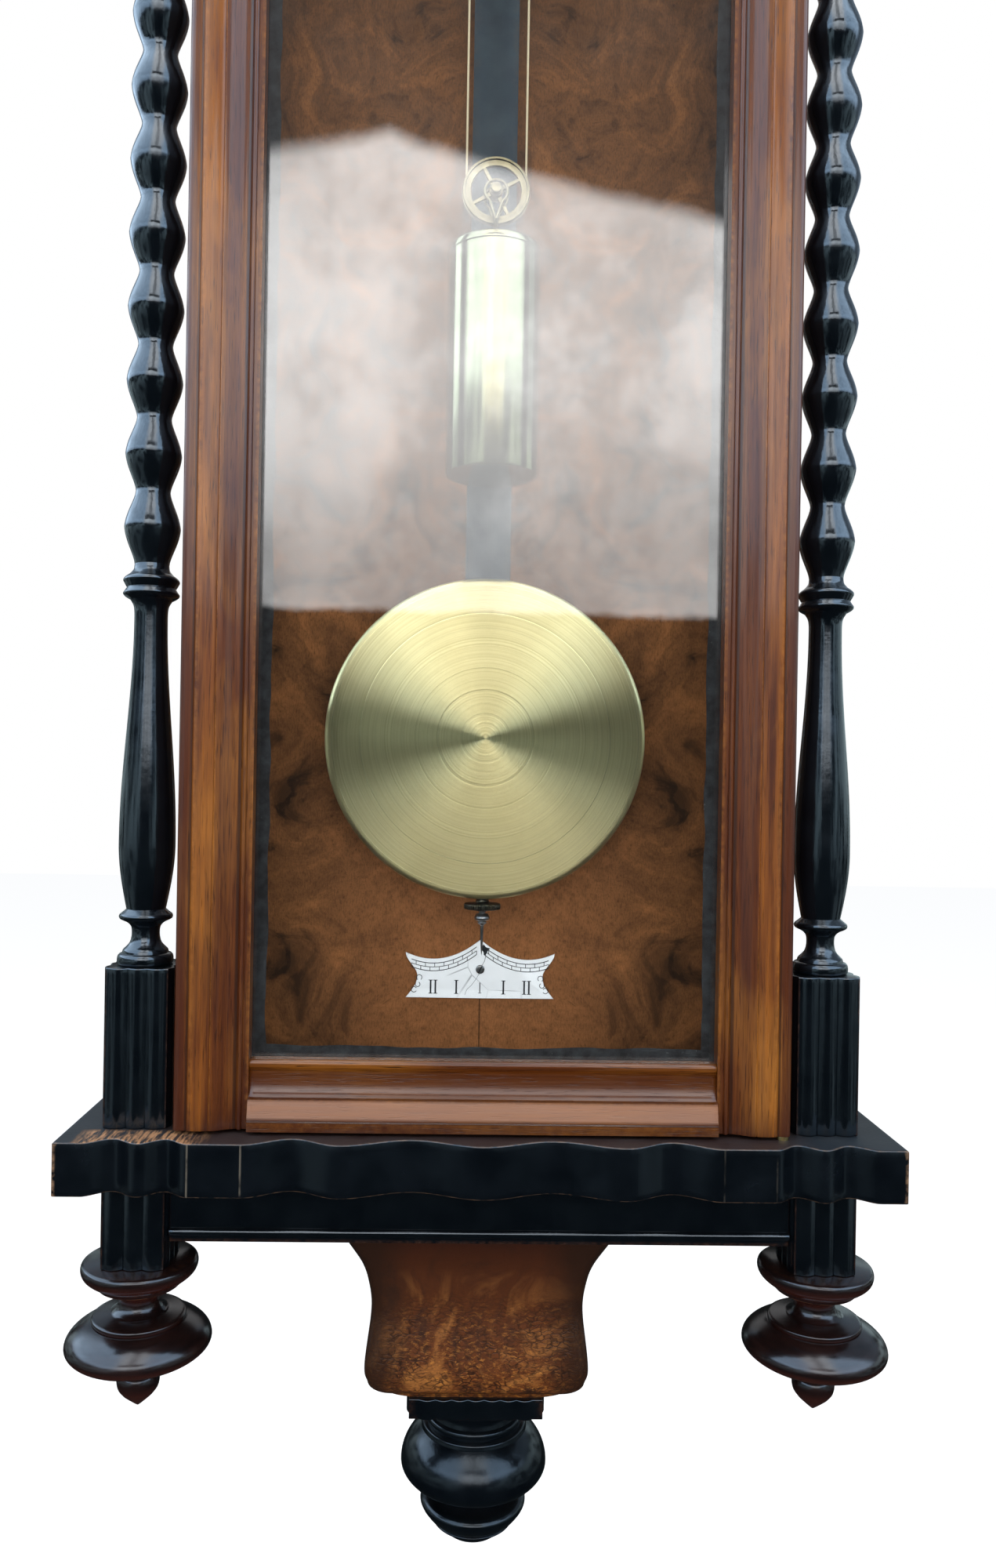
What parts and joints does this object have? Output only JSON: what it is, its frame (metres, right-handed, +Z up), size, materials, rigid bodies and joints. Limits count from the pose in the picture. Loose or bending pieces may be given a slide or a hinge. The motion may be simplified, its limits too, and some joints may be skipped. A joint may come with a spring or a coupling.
{
  "type": "wall clock",
  "caption": "Weight-driven wall clock in a glazed, columned wooden case, with a swinging pendulum, a hinged door, a falling weight and a geared movement.",
  "frame": {"origin": "centre of the hole in the hanger plate, in the plane of the wall", "axes": "+Z up, -Y out of the wall towards the person who reads the clock, +X to that person's right"},
  "size_m": [0.3872, 0.1405, 1.277],
  "materials": {
    "walnut": "French-polished straight-grained wood, moulded",
    "burr_walnut": "burr veneer with a satin polish",
    "ebonised": "turned or sawn wood, stained black and polished",
    "dark_polish": "turned wood, stained dark red-brown, glossy",
    "brass": "turned brass with fine circular brushing, lacquered",
    "steel": "polished steel, slightly dulled",
    "iron": "blackened iron",
    "blued_steel": "blued steel",
    "enamel": "white fired enamel on copper with black print",
    "glass": "old clear sheet glass",
    "putty": "painted glazing putty, grey-blue",
    "gut": "twisted gut, cream"
  },
  "bodies": {
    "case": {"backboard": "burr_walnut", "hanger_plate": "iron", "side_frame_left": "walnut", "side_frame_right": "walnut", "side_panes": "glass", "shelf": "ebonised", "apron_rails": "ebonised", "bottom_bracket": "walnut", "bracket_cap": "ebonised", "pendant": "ebonised", "plinth_blocks": "ebonised", "drop_blocks": "ebonised", "top_blocks": "ebonised", "column_left": "ebonised", "column_right": "ebonised", "drop_finial_left": "dark_polish", "drop_finial_right": "dark_polish", "cornice": "ebonised", "crest": "ebonised", "crest_finials": "ebonised", "beat_plate": "enamel", "beat_plate_screw": "blued_steel", "door_pivots": "brass", "latch_posts": "brass", "seat_brackets": "iron", "suspension_bracket": "brass", "movement_plates": "brass", "movement_pillars": "brass", "dial": "enamel", "bezel": "brass", "gut_line": "gut", "line_ends": "gut"},
    "door": {"door_stile_left": "walnut", "door_stile_right": "walnut", "door_rail_top": "walnut", "door_rail_bottom": "walnut", "door_pane": "glass", "glazing_beads": "putty", "door_fittings": "brass"},
    "upper_hook": {"latch_hook_upper": "brass"},
    "lower_hook": {"latch_hook_lower": "brass"},
    "pendulum": {"suspension_spring": "steel", "pendulum_rod": "ebonised", "pendulum_bob": "brass", "rating_nut": "brass", "beat_pointer": "steel"},
    "weight": {"weight_shell": "brass", "weight_stirrup": "brass"},
    "pulley": {"pulley": "brass"},
    "drum": {"drum": "brass"},
    "great": {"great_wheel": "brass"},
    "centre": {"centre_wheel": "brass", "minute_hand": "blued_steel"},
    "hour": {"hour_wheel": "brass", "hour_hand": "blued_steel"},
    "motion": {"minute_wheel": "brass"},
    "third": {"third_wheel": "brass"},
    "escape": {"escape_wheel": "brass", "seconds_hand": "blued_steel"},
    "pallets": {"pallet_arbor": "steel"}
  },
  "joints": [
    {"name": "door_hinge", "type": "hinge", "parent": "case", "child": "door", "pos_m": [0.1375, -0.1245, -0.4], "axis": [0, 0, 1], "range_deg": [0, 110]},
    {"name": "upper_latch", "type": "hinge", "parent": "case", "child": "upper_hook", "pos_m": [-0.1431, -0.0964, -0.098], "axis": [1, 0, 0], "range_deg": [0, 90]},
    {"name": "lower_latch", "type": "hinge", "parent": "case", "child": "lower_hook", "pos_m": [-0.1431, -0.0964, -0.298], "axis": [1, 0, 0], "range_deg": [0, 90]},
    {"name": "pendulum_swing", "type": "hinge", "parent": "case", "child": "pendulum", "pos_m": [0, -0.044, -0.088], "axis": [0, 1, 0], "range_deg": [-2.5, 2.5]},
    {"name": "weight_drop", "type": "slide", "parent": "case", "child": "weight", "axis": [0, 0, -1], "range_m": [-0.1, 0.285], "deforming": ["gut_line"]},
    {"name": "pulley_turn", "type": "hinge", "parent": "weight", "child": "pulley", "pos_m": [0, -0.08, -0.3938], "axis": [0, 1, 0], "range_deg": [-1120, 400]},
    {"name": "drum_turn", "type": "hinge", "parent": "case", "child": "drum", "pos_m": [0, -0.08, -0.1824], "axis": [0, 1, 0], "range_deg": [-2240, 800]},
    {"name": "escape_turn", "type": "hinge", "parent": "case", "child": "escape", "pos_m": [0, -0.0672, -0.11025], "axis": [0, 1, 0], "continuous": true},
    {"name": "third_turn", "type": "hinge", "parent": "case", "child": "third", "pos_m": [0.01438, -0.0752, -0.12386], "axis": [0, 1, 0], "continuous": true},
    {"name": "centre_turn", "type": "hinge", "parent": "case", "child": "centre", "pos_m": [0, -0.091, -0.146], "axis": [0, 1, 0], "continuous": true},
    {"name": "great_turn", "type": "hinge", "parent": "case", "child": "great", "pos_m": [0, -0.0648, -0.1824], "axis": [0, 1, 0], "continuous": true},
    {"name": "motion_turn", "type": "hinge", "parent": "case", "child": "motion", "pos_m": [-0.012, -0.0976, -0.146], "axis": [0, 1, 0], "continuous": true},
    {"name": "hour_turn", "type": "hinge", "parent": "case", "child": "hour", "pos_m": [0, -0.1006, -0.146], "axis": [0, 1, 0], "continuous": true},
    {"name": "pallet_rock", "type": "hinge", "parent": "case", "child": "pallets", "pos_m": [0, -0.0672, -0.088], "axis": [0, 1, 0], "range_deg": [-2.6, 2.6]}
  ],
  "couplings": [
    {"joint": "pulley_turn", "follows": "weight_drop", "rad_per_m": -67.797},
    {"joint": "drum_turn", "follows": "weight_drop", "rad_per_m": -135.59},
    {"joint": "third_turn", "follows": "escape_turn", "ratio": -0.125},
    {"joint": "centre_turn", "follows": "escape_turn", "ratio": 0.0125},
    {"joint": "great_turn", "follows": "escape_turn", "ratio": -0.0010417},
    {"joint": "motion_turn", "follows": "escape_turn", "ratio": -0.0041667},
    {"joint": "hour_turn", "follows": "escape_turn", "ratio": 0.0010417},
    {"joint": "pallet_rock", "follows": "pendulum_swing", "ratio": 1}
  ]
}
